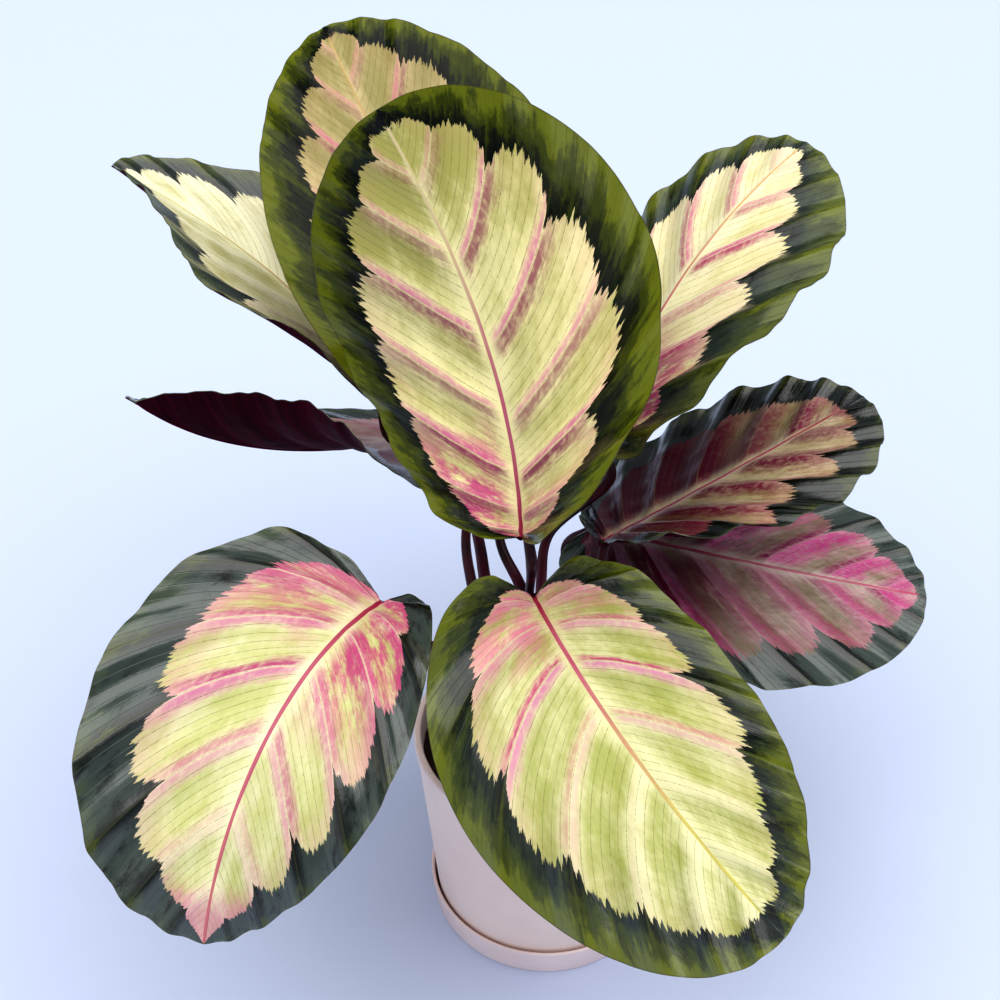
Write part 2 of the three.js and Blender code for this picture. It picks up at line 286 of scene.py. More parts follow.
# Where the leaves stand, in mm and degrees. base: where the blade starts. heading, rise: the midrib's
# direction there. droop, sweep: how it turns towards the tip. roll, twist: the blade's turn about it.
# fold, curl, cup: how the halves rise. lobe, fullness, lean: the outline. shift: where the ridges lie on
# each half. ruffle: the margin's waves. foot, way: where the stalk stands and passes. under: how steeply
# it comes in below the blade.
leaves = {
    "centre": dict(
        base=(-15, -22, 268), heading=95, rise=59, droop=-2, sweep=73, roll=-56, twist=-3, fold=-4,
        curl=-5, cup=33, length=193, width=152, lobe=0.08, fullness=0.01, lean=-0.09, shift=(0.35, 0.17),
        foot=(-8, 3), footRadius=4.5, under=0.15, way=[(-11, -3, 212)]),
    "back_tall": dict(
        base=(-23, 78, 265), heading=142, rise=65, droop=43, sweep=-30, roll=-11, twist=-11, fold=-4,
        curl=4, cup=14, length=227, width=156, lobe=0.12, fullness=0.16, lean=-0.09, shift=(0.77, 0.2),
        foot=(13, 19), footRadius=5, ruffle=0.6, way=[(-15, 35, 192), (-25, 50, 208)]),
    "left_high": dict(
        base=(-87, 95, 262), heading=114, rise=16, droop=-16, sweep=61, roll=-6, twist=16, fold=20, curl=9,
        cup=40, length=207, width=149, lobe=0.18, fullness=0.25, lean=0.2, shift=(0.6, 0.6),
        foot=(-14, 15), footRadius=5, ruffle=0.5, way=[(-32, 35, 190), (-36, 46, 212), (-48, 66, 251)]),
    "left_middle": dict(
        base=(-35, 128, 238), heading=178, rise=-31, droop=-83, sweep=37, roll=20, twist=10, fold=20,
        curl=1, cup=-45, length=201, width=159, lobe=0.15, fullness=0.2, lean=0.15, shift=(0.4, 0.6),
        foot=(-28, 6), footRadius=4.5, ruffle=0.4, way=[(-38, 50, 164), (-43, 82, 194)]),
    "left_low": dict(
        base=(-80, -21, 228), heading=240, rise=19, droop=86, sweep=7, roll=-2, twist=-22, fold=-15,
        curl=17, cup=47, length=181, width=137, lobe=0.05, fullness=0.05, lean=-0.18, shift=(0.5, 0.5),
        foot=(-17, -14), footRadius=4, way=[(-44, -14, 180)]),
    "front_low": dict(
        base=(-10, -34, 242), heading=294, rise=-12, droop=-6, sweep=11, roll=-1, twist=46, fold=2,
        curl=-26, cup=46, length=182, width=133, lobe=0.15, fullness=0.11, lean=-0.14, shift=(0.85, 0.7),
        foot=(-2, -14), footRadius=4.5, way=[(-7, -21, 190)]),
    "right_high": dict(
        base=(21, 42, 274), heading=59, rise=45, droop=24, sweep=-22, roll=-50, twist=55, fold=-6, curl=-2,
        cup=-2, length=190, width=141, lobe=0.2, fullness=0.05, lean=-0.01, shift=(0.6, 0.6), foot=(0, 12),
        footRadius=4.5, way=[(-4.5, 20, 208), (-1, 31, 227)]),
    "right_middle": dict(
        base=(25, 14, 237), heading=26, rise=14, droop=-4, sweep=-1, roll=-27, twist=25, fold=2, curl=-3,
        cup=9, length=149, width=133, lobe=0.09, fullness=0.1, lean=0.02, shift=(0.75, 0.7), foot=(9, -3),
        footRadius=4, under=1.3, way=[(11.5, 1, 200)]),
    "right_low": dict(
        base=(23, 69, 202.5), heading=-11.5, rise=-8, droop=3, sweep=9.5, roll=8, twist=17, fold=-2,
        curl=-8, cup=13, length=178, width=137, lobe=0.32, fullness=0.1, lean=-0.02, shift=(0.55, 0.35),
        foot=(22, 10), footRadius=4, under=1.6, way=[(17, 37, 168)]),
}

# The tip-side stripe is lighter as painted light, and the base-side one darker as painted shade.
# How the leaves look. Pairs in reach, wider, baseBlush and baseReach are for the left and right half.
# cream, lime: the pale middle. pale: more cream. paintedTipShade: painted shade, less cream towards the tip.
# reach: its width.
# wider: more of it in the base half. ends: where it stops before the tip.
# pinkLitAhead, pinkShadedBehind: pink stripes on each ridge's tip and base side. widths: theirs, in bands.
# pink, pinkTo, spread: how strong they are, how far along they go, how much wider they are at the base.
# crest: the thin pale line on each ridge. flush, blush, tipBlush: the pink near the pale middle's edge,
# how strong it is there and at the tip. deep, baseBlush, baseReach, fill: the pink patches near the base,
# how strong they are, how far up they go and how little lies between them.
# olive: green on the border. paintedSheen: a painted grey sheen on it. ribTip, red: the midrib's tip, how
# far along it is red.
# gloss, innerGloss: how the border and the pale middle shine. duller: how much rougher the middle is.
usualLook = dict(
    pink=1, paintedTipShade=0, flush=(226, 150, 164), tipBlush=0, deep=(200, 92, 134), fill=0,
    reach=(1, 1), wider=(0, 0), pale=0, paintedSheen=0, innerGloss=0.4, duller=0.2)

looks = {
    "centre": dict(
        cream=(248, 238, 180), lime=(184, 178, 104), pinkLitAhead=(214, 126, 156), pinkShadedBehind=(150, 66, 92),
        widths=(0.12, 0.2), pink=0.95, pinkTo=0.85, spread=0.5, crest=0.75, flush=(222, 158, 158),
        blush=0.5, baseBlush=(1, 0.5), baseReach=(0.3, 0.16), fill=0.03, reach=(1, 0.97), ends=0.975,
        olive=0.42, pale=0.09, paintedTipShade=0.42, ribTip=(226, 208, 160), red=0.62, gloss=0.35, seed=1),
    "back_tall": dict(
        cream=(206, 188, 138), lime=(158, 146, 88), pinkLitAhead=(200, 116, 136), pinkShadedBehind=(146, 84, 88),
        widths=(0.13, 0.15), pink=0.9, pinkTo=1, spread=0.3, crest=0.6,
        blush=0.2, baseBlush=(0.3, 0.3), baseReach=(0.3, 0.3), reach=(0.94, 1), ends=0.985,
        olive=0.34, paintedTipShade=0.2, ribTip=(196, 170, 112), red=0.5, gloss=0.25, seed=2),
    "left_high": dict(
        cream=(248, 244, 208), lime=(190, 184, 116), pinkLitAhead=(232, 190, 170), pinkShadedBehind=(150, 116, 92),
        widths=(0.1, 0.18), pink=0.6, pinkTo=0.5, spread=0.3, crest=0.7,
        blush=0.2, baseBlush=(0.2, 0.4), baseReach=(0.3, 0.3), ends=0.985,
        olive=0.15, paintedSheen=0.2, pale=0.12, ribTip=(214, 204, 140), red=0.4, gloss=0.9, seed=3),
    "left_middle": dict(
        cream=(236, 214, 196), lime=(196, 160, 150), pinkLitAhead=(210, 120, 150), pinkShadedBehind=(160, 80, 110),
        widths=(0.2, 0.2), pink=0.8, pinkTo=1, spread=0.3, crest=0.6,
        blush=0.5, baseBlush=(0.5, 0.5), baseReach=(0.5, 0.5), ends=0.96,
        olive=0, paintedSheen=0.4, pale=0.1, ribTip=(190, 80, 120), red=0.9, gloss=0.9, seed=4),
    "left_low": dict(
        cream=(236, 230, 190), lime=(196, 198, 126), pinkLitAhead=(208, 136, 160), pinkShadedBehind=(188, 90, 130),
        widths=(0.17, 0.18), pinkTo=0.75, spread=1.4, crest=0.75, flush=(212, 122, 160),
        blush=0.75, tipBlush=0.6, baseBlush=(1, 0.8), baseReach=(0.5, 0.3), fill=0.04,
        reach=(1, 0.94), ends=1.02,
        olive=-0.2, paintedSheen=0.45, ribTip=(200, 120, 124), red=0.8, gloss=1, seed=5),
    "front_low": dict(
        cream=(230, 226, 178), lime=(170, 174, 94), pinkLitAhead=(216, 150, 172), pinkShadedBehind=(190, 80, 120),
        widths=(0.14, 0.12), pinkTo=0.62, spread=0.8, crest=0.8, flush=(222, 150, 160),
        blush=0.35, deep=(222, 130, 158), baseBlush=(0.5, 0.7), baseReach=(0.16, 0.24), fill=0.05,
        ends=0.95, olive=0.36, paintedSheen=0.15, ribTip=(206, 196, 110), red=0.55, gloss=0.7, seed=6),
    "right_high": dict(
        cream=(246, 238, 196), lime=(216, 206, 138), pinkLitAhead=(212, 112, 148), pinkShadedBehind=(184, 84, 112),
        widths=(0.15, 0.15), pinkTo=0.85, spread=0.8, crest=0.75,
        blush=0.4, baseBlush=(0.9, 1), baseReach=(0.36, 0.36), fill=0.05,
        reach=(1, 0.86), ends=0.985,
        olive=0.36, paintedSheen=0.25, pale=0.15, ribTip=(226, 186, 136), red=0.6, gloss=0.5, seed=7),
    "right_middle": dict(
        cream=(216, 198, 168), lime=(158, 148, 94), pinkLitAhead=(136, 30, 76), pinkShadedBehind=(120, 28, 66),
        widths=(0.4, 0.3), pink=0.95, pinkTo=1.1, spread=0.2, crest=0.25, flush=(186, 92, 116),
        blush=0.6, tipBlush=0.3, deep=(96, 8, 44), baseBlush=(1, 0.75), baseReach=(0.78, 0.4), fill=0.2,
        reach=(0.95, 0.95), wider=(0.05, 0.36), ends=0.93, olive=-0.15, paintedSheen=0.1, pale=0.05,
        ribTip=(176, 92, 96), red=0.8, gloss=0.9, innerGloss=0.3, duller=0.06, seed=8),
    "right_low": dict(
        cream=(212, 186, 176), lime=(128, 112, 78), pinkLitAhead=(200, 62, 138), pinkShadedBehind=(150, 30, 92),
        widths=(0.46, 0.2), pinkTo=1.1, spread=0.2, crest=0.3, flush=(218, 112, 162),
        blush=0.9, tipBlush=0.3, deep=(100, 18, 58), baseBlush=(1, 0.8), baseReach=(0.62, 0.5), fill=0.1,
        wider=(0, 0.1), ends=0.99, olive=-0.25, paintedSheen=0.62,
        ribTip=(200, 90, 120), red=0.9, gloss=1, innerGloss=0.5, duller=0.06, seed=9),
}

# blades
bladeSet = dict(
    rows=176,  # along the midrib
    columns=(0, 0.004, 0.009, 0.015, 0.023, 0.034, 0.05, 0.075, 0.11, 0.15, 0.2, 0.255, 0.31, 0.365,
                0.42, 0.475, 0.53, 0.585, 0.64, 0.69, 0.74, 0.79, 0.835, 0.88, 0.92, 0.955, 0.985, 1),
    spineSteps=64,  # straight steps that a midrib is reckoned in
    bands=7,  # between the main side veins, if they were spaced evenly
    crowding=1.4,  # further bands that crowd towards the tip
    crowdingPower=8,
    veinStart=2.6,  # above 1 the side veins leave the midrib nearer the base
    veinStraight=0.6,  # share of a side vein's forward run that is straight, the rest bends
    roundness=0.9, tipPoint=0.02,
    tipPower=14,  # how near the tip it runs to a point
    cupPower=3,  # how near the base it cups
    thick=0.8, thinEdge=0.5,
    thinPower=3,  # how near the margin it thins out
    keelDepth=(2.4, 0.2),  # of the midrib below the blade, at the base and the tip, mm
    keelWidth=(2.6, 0.9), keelRound=0.7,
    ribCrown=(0.3, 0.8),  # height and half width of the midrib above the blade, mm
    ribTrough=(0.45, 2.6),  # and of the trough that it lies in
    ribFade=0.5,  # how soon both end towards the tip
)
rightBands = 40  # added to the right half's band numbers, so that they tell the halves apart
cornerLabels = ("band", "reach", "along", "aside", "station")

reliefSet = dict(
    ridge=1.5,  # height of the ridges near the midrib, mm
    edgeWave=2.6,  # and at the margin
    ridgeStart=0.17,
    crestNear=0.6,  # how sharp the ridges are near the midrib, 0 round to 1 sharp
    crestFar=0.12,  # and at the margin
    crestShape=(1.2, 2, 0.8),  # a sharp crest's top, its depth and its power
    unequal=0.3,  # how much the ridges differ in height
    firstRidge=-2, ridges=14, phaseEnd=6.28,
    rippleHeight=0.035,  # small veins between the ridges, mm
    ripples=6, rippleStart=0.1,
    frill=0.45,  # small waves of the margin, mm
    frillWaves=(2.3, 3.7),  # how many to a band
    frillShare=0.6,
    frillSwell=5,  # bands over which the second wave comes and goes
    frillStart=0.7, frillRun=0.3, frillPower=1.5,
    uneven=0.34,  # shallow dents across the ridges, mm
    unevenStart=0.2,
    # each row: its share, and two waves by band, reach and phase
    dents=((1, (8, 9, 0), (-3.5, 15, 1)), (0.7, (5.3, -12, 2), (4.2, 19, 0))))


def spineOf(leaf):
    steps = bladeSet["spineSteps"]
    share = np.linspace(0, 1, steps + 1)
    heading = np.radians(leaf["heading"] + leaf["sweep"] * share)
    rise = np.radians(leaf["rise"] - leaf["droop"] * share)
    roll = np.radians(leaf["roll"] + leaf["twist"] * share)[:, None]
    direction = np.stack([np.cos(rise) * np.cos(heading), np.cos(rise) * np.sin(heading), np.sin(rise)], 1)
    level = np.stack([-np.sin(heading), np.cos(heading), 0 * heading], 1)
    side = level * np.cos(roll) + np.cross(direction, level) * np.sin(roll)
    runs = (direction[1:] + direction[:-1]) / 2 * leaf["length"] / steps
    points = np.array(leaf["base"], float) + np.vstack([np.zeros(3), np.cumsum(runs, 0)])
    return points, direction, side, np.cross(direction, side)


def spineAt(lines, share, length):
    inside = np.clip(share, 0, 1)
    steps = len(lines[0]) - 1
    index = np.minimum((inside * steps).astype(int), steps - 1)
    part = (inside * steps - index)[..., None]
    point, direction, side, face = [mix(line[index], line[index + 1], part) for line in lines]
    return point + direction * ((share - inside) * length)[..., None], side, face, inside


def bandAt(leaf, w, half):
    s = bladeSet
    return s["bands"] * w + s["crowding"] * w ** s["crowdingPower"] - leaf["shift"][0 if half > 0 else 1]


def reliefAt(leaf, w, q, half):
    # how far ridges, ripples, the margin's frill and dents lift the blade, mm
    s = reliefSet
    band = bandAt(leaf, w, half)
    rounded = np.sin(np.pi * w)
    turns = 2 * np.pi * band
    chance = np.random.default_rng(leaf["seed"] * 2 + (half > 0))
    heights = 1 + s["unequal"] * chance.uniform(-1, 1, s["ridges"])
    phases = chance.uniform(0, s["phaseEnd"], 3)
    top, depth, power = s["crestShape"]
    crest = top - depth * np.abs(np.sin(turns / 2)) ** power
    sharp = mix(s["crestNear"], s["crestFar"], q)
    wave = mix(np.cos(turns), crest, sharp) * np.sqrt(np.abs(rounded))
    wave = wave * np.interp(band, np.arange(s["ridges"]) + s["firstRidge"], heights)
    edgeWave = s["edgeWave"] * leaf.get("ruffle", 1)
    relief = wave * mix(s["ridge"], edgeWave, q) * np.clip(q / s["ridgeStart"], 0, 1)
    ripples = s["rippleHeight"] * np.cos(s["ripples"] * turns)
    relief = relief + ripples * rounded * np.clip(q / s["rippleStart"], 0, 1)
    long, short = s["frillWaves"]
    frill = s["frillShare"] * np.sin(short * turns + phases[1]) * np.sin(turns / s["frillSwell"] + phases[2])
    frill = (np.sin(long * turns + phases[0]) + frill) * s["frill"]
    atEdge = np.clip((q - s["frillStart"]) / s["frillRun"], 0, 1) ** s["frillPower"]
    relief = relief + frill * rounded * atEdge
    dents = 0
    for share, *waves in s["dents"]:
        first, second = [np.sin(across * band + along * q + phases[k]) for across, along, k in waves]
        dents = dents + share * first * second
    return relief + dents * s["uneven"] * rounded * np.clip(q / s["unevenStart"], 0, 1)


def bladePoints(leaf, w, q, half):
    # w runs from base to tip along the side veins, q from midrib to margin; half is 1 left, -1 right
    s = bladeSet
    turn = np.pi * w
    lobe = np.where(w < 0.5, leaf["lobe"] * np.sin(turn) * np.cos(turn) ** 2, 0)
    even = (1 - np.cos(turn)) / 2
    tip = s["tipPoint"] * even ** s["tipPower"]
    plump = np.abs(np.sin(turn)) ** s["roundness"] * (1 + leaf["fullness"] * np.cos(turn))
    across = plump * leaf["width"] * (1 + leaf["lean"] * half) / 2 * q
    root = w ** s["veinStart"] + tip
    forward = s["veinStraight"] * q + (1 - s["veinStraight"]) * q * q
    station = root + (even - lobe + tip - root) * forward
    point, side, face, inside = spineAt(spineOf(leaf), station, leaf["length"])
    lift = np.radians(leaf["fold"] + leaf["cup"] * (1 - inside) ** s["cupPower"])
    bend = math.radians(leaf["curl"]) / (leaf["width"] / 2)
    end = lift + bend * across
    flat = (np.sin(end) - np.sin(lift)) / bend
    height = (np.cos(lift) - np.cos(end)) / bend + reliefAt(leaf, w, q, half)
    return point + side * (half * flat)[..., None] + face * height[..., None], across, station


def normalsOf(spots, quads):
    normals = np.zeros_like(spots)
    diagonal = np.cross(spots[quads[:, 2]] - spots[quads[:, 0]], spots[quads[:, 3]] - spots[quads[:, 1]])
    for corner in range(4):
        np.add.at(normals, quads[:, corner], diagonal)
    return normals / (np.linalg.norm(normals, axis=1)[:, None] + 1e-12)


def fourCorners(grid):
    return np.stack([grid[:-1, :-1], grid[1:, :-1], grid[1:, 1:], grid[:-1, 1:]], -1).reshape(-1, 4)


def buildBlade(name, leaf, face, back):
    s = bladeSet
    rows, columns = s["rows"], len(s["columns"]) - 1
    w = np.linspace(0, 1, rows + 1)
    wGrid, qGrid = np.meshgrid(w, np.array(s["columns"]), indexing="ij")
    # each list starts with the midrib, which the halves share; then the inner points of each half
    spots, asides, reaches, ws = [bladePoints(leaf, w, 0 * w, 1)[0]], [0 * w], [0 * w], [w]
    quads, corners, rings = [], [], []
    count = rows + 1
    inner = (rows - 1) * columns
    for half in (1, -1):
        sheet, across, station = bladePoints(leaf, wGrid, qGrid, half)
        index = np.empty((rows + 1, columns + 1), int)
        index[:, 0] = np.arange(rows + 1)
        index[1:-1, 1:] = count + np.arange(inner).reshape(rows - 1, columns)
        index[0, :] = 0
        index[-1, :] = rows
        count += inner
        spots.append(sheet[1:-1, 1:].reshape(-1, 3))
        for collected, grid in ((asides, across), (reaches, qGrid), (ws, wGrid)):
            collected.append(grid[1:-1, 1:].ravel())
        band = bandAt(leaf, wGrid, half) + (rightBands if half < 0 else 0)
        # the numbers named by cornerLabels, in their order
        carried = (band, qGrid, wGrid, across, station)
        quad, corner = fourCorners(index), np.stack([fourCorners(grid) for grid in carried], -1)
        rim = index[:, -1]
        info = np.stack([grid[:, -1] for grid in carried], -1)
        ring = np.stack([rim[:-1], rim[1:]], -1)
        ringCorner = np.stack([info[:-1], info[1:], info[1:], info[:-1]], 1)
        if half < 0:
            quad, corner = quad[:, ::-1], corner[:, ::-1]
        quads.append(quad)
        corners.append(corner)
        rings.append((ring, ringCorner, half))
    spots, aside = np.vstack(spots), np.concatenate(asides)
    reach, along = np.concatenate(reaches), np.concatenate(ws)
    quads, corners = np.vstack(quads), np.concatenate(corners)

    halfThick = mix(s["thick"], s["thinEdge"], reach ** s["thinPower"]) / 2
    keelWidth = mix(*s["keelWidth"], along)
    rounding = np.cos(np.pi / 2 * np.clip(aside / keelWidth, 0, 1)) ** s["keelRound"]
    keel = mix(*s["keelDepth"], along) * np.where(aside < keelWidth, rounding, 0)
    crown, trough = [high * np.exp(-(aside / wide) ** 2) for high, wide in (s["ribCrown"], s["ribTrough"])]
    normals = normalsOf(spots, quads)
    top = spots + normals * (halfThick + (crown - trough) * (1 - along) ** s["ribFade"])[:, None]
    bottom = spots - normals * (halfThick + keel)[:, None]

    total = len(spots)
    faces, slots, values = [], [], []

    def addFaces(quadList, cornerList, slot):
        for quad, corner in zip(quadList.tolist(), cornerList.tolist()):
            kept = [k for k in range(4) if quad[k] != quad[(k + 1) % 4]]
            if len(kept) > 2:
                faces.append([quad[k] for k in kept])
                values.extend(corner[k] for k in kept)
                slots.append(slot)

    addFaces(quads, corners, 0)
    addFaces(quads[:, ::-1] + total, corners[:, ::-1], 1)
    for ring, ringCorner, half in rings:
        ring = np.hstack([ring, ring[:, ::-1] + total])
        turned = slice(None, None, -1 if half > 0 else 1)
        addFaces(ring[:, turned], ringCorner[:, turned], 0)

    piece = newPiece(f"leaf_{name}", np.vstack([top, bottom]) * mm, faces, (face, back), slots)
    for label, column in zip(cornerLabels, np.array(values).T):
        carry(piece, label, column)
    return piece


# the leaves' upper face
grainSet = dict(
    seedStep=7.3,
    # how fine each noise is across the bands and along a vein, its offset, detail and roughness
    grains={
        "cloud": (1.3, 3.2, 3, 3, 0.6),
        "streak": (9, 1.6, 0, 3, 0.6),
        "quilt": (11, 28, 7, 2, 0.5),
        "mottle": (12, 6, 8, 4, 0.75),
        "teeth": (15, 3, 5, 4, 0.75),
        "patchy": (3, 4, 17, 5, 0.7),
        "dots": (30, 70, 9, 1, 0.5),
        "blotch": (3.4, 5, 12, 5, 0.7),
        "feather": (20, 3, 14, 3, 0.65),
    })


class LeafPaint:
    # a leaf's upper face, and what the steps of painting it share
    def __init__(self, name, look):
        f = self.finish = Finish(name)
        self.look = look
        readings = [f.reading(label) for label in cornerLabels]
        self.band, self.reach, self.along, self.aside, self.station = readings
        self.seed = look["seed"] * grainSet["seedStep"]
        self.side = self.band + self.seed
        self.part = self.band.maths("FRACT")  # 0 on one ridge, 1 on the next
        self.near = self.part.maths("MINIMUM", self.part.flipped())  # distance from the nearest ridge
        self.ridge = self.band.maths("ROUND") + self.seed
        self.rightHalf = self.band.maths("GREATER_THAN", rightBands / 2)
        self.grain = {kind: f.grain(self.side, self.reach, self.seed, *scales)
                      for kind, scales in grainSet["grains"].items()}

    def cover(self, share, tint):
        self.colour = self.finish.mix(share, self.colour, tint)

    def each(self, pair):
        # the first on the left half and the second on the right
        left, right = pair
        return self.rightHalf * (right - left) + left

    def blend(self, shares):
        # a sum of noises, each with its share
        first, *others = [self.grain[kind] * share for kind, share in shares.items()]
        for other in others:
            first = first + other
        return first


patchSet = dict(
    # how far the pale middle reaches from the midrib, along the leaf from base to tip
    reach=[(0, 0.12), (0.05, 0.27), (0.1, 0.36), (0.17, 0.45), (0.25, 0.55), (0.33, 0.67),
              (0.45, 0.74), (0.58, 0.79), (0.7, 0.82), (0.8, 0.82), (0.9, 0.79), (0.96, 0.7), (1, 0.55)],
    baseHalf=(0.62, 0.38),  # where wider ends
    # how it bulges between one ridge (0) and the next (1)
    lobe=[(0, 0), (0.06, 0.55), (0.2, 0.85), (0.45, 1), (0.7, 0.85), (0.9, 0.4), (1, 0)],
    notch=(0.13, 0.07),  # how much deeper by chance, and the least depth of the notch at a ridge
    bulge=0.06, comb=0.026, combs=10, teeth=0.18, tipTeeth=0.07, softEdge=(-0.003, 0.004),
    softTip=(-0.003, 0.003),
    shares={"cloud": 0.9, "streak": 0.25, "quilt": 0.25},  # what makes it cream rather than lime
    chance=(0.2, 0.1),  # each ridge's own draw and its share
    ridgeLit=(0.3, 0.3),  # how far from a ridge a painted highlight makes it lighter, in bands, and how much
    ribLit=(10, 0.2),  # how far beside the midrib it is lighter, in mm, and how much
    # paintedShadeFrom: where the painted shade towards the tip begins, along the leaf
    paintedShadeFrom=0.55, creamRange=(0.5, 1.15))


def paintPatch(p):
    # the pale middle's edge, notched at the ridges and feathered along the veins, and its ground colour
    s, f, look = patchSet, p.finish, p.look
    lobe = p.part.curve(s["lobe"])
    notch = f.chance(p.ridge).scaled(*s["notch"])
    bulge = f.chance(p.band.maths("FLOOR") + p.seed) - 0.5
    comb = (p.band * s["combs"]).maths("PINGPONG", 0.5) * 2.0 - 0.5
    teeth = p.grain["teeth"] - 0.5
    wider = p.each(look["wider"]) * p.along.step(*s["baseHalf"])
    edge = p.along.curve(s["reach"]) * (wider + p.each(look["reach"]))
    edge = edge - lobe.flipped() * notch + lobe * bulge * s["bulge"]
    p.edge = edge + comb * s["comb"] + teeth * s["teeth"]
    p.inside = p.edge - p.reach
    tip = (teeth * s["tipTeeth"] + look["ends"]) - p.station
    p.patch = p.inside.step(*s["softEdge"]) * tip.step(*s["softTip"])

    draw, share = s["chance"]
    paleAndPaintedLight = p.blend(s["shares"]) + f.chance(p.ridge + draw) * share
    # a painted highlight near each ridge, and lighter beside the midrib
    for distance, (far, share) in ((p.near, s["ridgeLit"]), (p.aside, s["ribLit"])):
        paleAndPaintedLight = paleAndPaintedLight + distance.step(far, 0.0) * share
    # painted shade: less cream towards the tip, by paintedTipShade
    paleAndPaintedLight = paleAndPaintedLight + look["pale"] - p.station.step(s["paintedShadeFrom"], 1.0) * look["paintedTipShade"]
    p.colour = f.mix(paleAndPaintedLight.step(*s["creamRange"]), look["lime"], look["cream"])


stripeSet = dict(
    draw=0.5, chance=(0.7, 0.55),  # each ridge's own draw, its share and the least strength
    fade=(0.25, -0.1),  # where the stripes end and start to fade, from pinkTo
    start=(0.02, 0.12), atEdge=(-0.02, 0.14, 0.5),
    spread=(2.4, -0.15),  # their uneven width: the mottling's share, and more
    baseRange=(0.55, 0.12), soft=(1.4, 0.3), quilt=(0.75, 0.4, 0.4))


def paintStripes(p):
    # the pink stripes along each ridge, lighter on the tip side as painted light and darker on the base side
    # as painted shade
    s, look = stripeSet, p.look
    strength = p.finish.chance(p.ridge + s["draw"]).scaled(*s["chance"]).maths("MINIMUM", 1.0) * look["pink"]
    end, start = s["fade"]
    strength = strength * p.along.step(look["pinkTo"] + end, look["pinkTo"] + start)
    strength = strength * p.reach.step(*s["start"]) * p.inside.eased(*s["atEdge"])
    baseSpread = p.along.step(*s["baseRange"]).scaled(look["spread"], 1.0)
    spread = p.grain["mottle"].scaled(*s["spread"]) * baseSpread
    broken = p.grain["quilt"].eased(*s["quilt"])
    # painted light and shade: the tip-side stripe takes the lighter pink, the base-side stripe the darker
    for distance, width, kind in zip((p.part, p.part.flipped()), look["widths"], ("pinkLitAhead", "pinkShadedBehind")):
        stripe = (distance / (spread * width)).step(*s["soft"]) * broken
        p.cover(stripe * strength, look[kind])


blushSet = dict(
    shares={"mottle": 0.8, "cloud": 0.8}, patches=(0.55, 0.9),
    outer=(0.26, 0),  # how far it reaches in from the edge
    fewer=(0.75, 0.3, 0.7),  # how it weakens towards the tip
    baseEnd=(1.1, 0.5),  # where the pink near the base ends and starts to fade, of baseReach
    baseStart=(0.02, 0.2), baseShares={"patchy": 0.75, "mottle": 0.4}, basePatches=(0.5, 0.7),
    tipUneven=0.12, tipRange=(0.86, 0.95))


def paintBlush(p):
    # pink near the pale middle's outer edge, the base and the tip
    s, look = blushSet, p.look
    outer = p.inside.step(*s["outer"]) * p.along.eased(*s["fewer"])
    p.cover(outer * p.blend(s["shares"]).step(*s["patches"]) * look["blush"], look["flush"])
    atBase = (p.station / p.each(look["baseReach"])).step(*s["baseEnd"]) * p.each(look["baseBlush"])
    stain = (p.blend(s["baseShares"]) + look["fill"]).step(*s["basePatches"])
    p.cover(atBase * p.reach.step(*s["baseStart"]) * stain, look["deep"])
    atTip = (p.station + (p.grain["mottle"] - 0.5) * s["tipUneven"]).step(*s["tipRange"])
    p.cover(atTip * look["tipBlush"], look["flush"])


veinSet = dict(
    crest=(0.022, 0.006), crestStart=(0.02, 0.08), perBand=7, width=(0.055, 0.012), start=(0.02, 0.06),
    dots=(0.36, 0.6),
    shares=(0.5, 0.18),  # of the dots and of the line between them
    line=(122, 116, 62), speckScale=(6, 16), speckSize=(0.07, 0.03), speckPatches=(0.5, 0.54),
    speckShare=0.7, speck=(96, 44, 50))


def paintVeins(p):
    # the thin pale crest of each ridge, the fine dotted veins and a few specks
    s, f = veinSet, p.finish
    p.crest = p.near.step(*s["crest"]) * p.reach.step(*s["crestStart"])
    p.cover(p.crest * p.look["crest"], p.look["cream"])
    p.line = (p.band * s["perBand"]).maths("PINGPONG", 0.5).step(*s["width"])
    dots = p.grain["dots"].step(*s["dots"]).scaled(*s["shares"])
    p.cover(p.line * dots * p.reach.step(*s["start"]), s["line"])
    across, along = s["speckScale"]
    where = f.node("CombineXYZ", 0, X=p.side * across, Y=p.reach * along, Z=p.seed)
    speck = f.cells(where).step(*s["speckSize"]) * p.grain["cloud"].step(*s["speckPatches"])
    p.cover(speck * s["speckShare"], s["speck"])


borderSet = dict(
    leastWidth=0.02,
    outward=1.1,  # how it turns green towards the margin
    blotch=1.9, feather=0.35, less=0.16, streak=0.6, darkRange=(0.1, 0.45), oliveRange=(0.42, 0.75),
    brightRange=(0.8, 1.2),
    paintedSheenPatches=((0.02, 0.2), (0.3, 0.5)),  # where the painted sheen lies: away from the ridges, and by the blotches
    # crest: the strength of a painted highlight along each ridge on the border
    crest=0.16, line=0.14, marginAt=(0.992, 0.999), marginShare=0.6, black=(10, 14, 8),
    # sheenGrey: the colour of the painted sheen, a reflection painted on the border
    darkGreen=(24, 32, 11), olive=(66, 74, 12), brightOlive=(112, 118, 26), sheenGrey=(96, 110, 102),
    margin=(74, 70, 40))


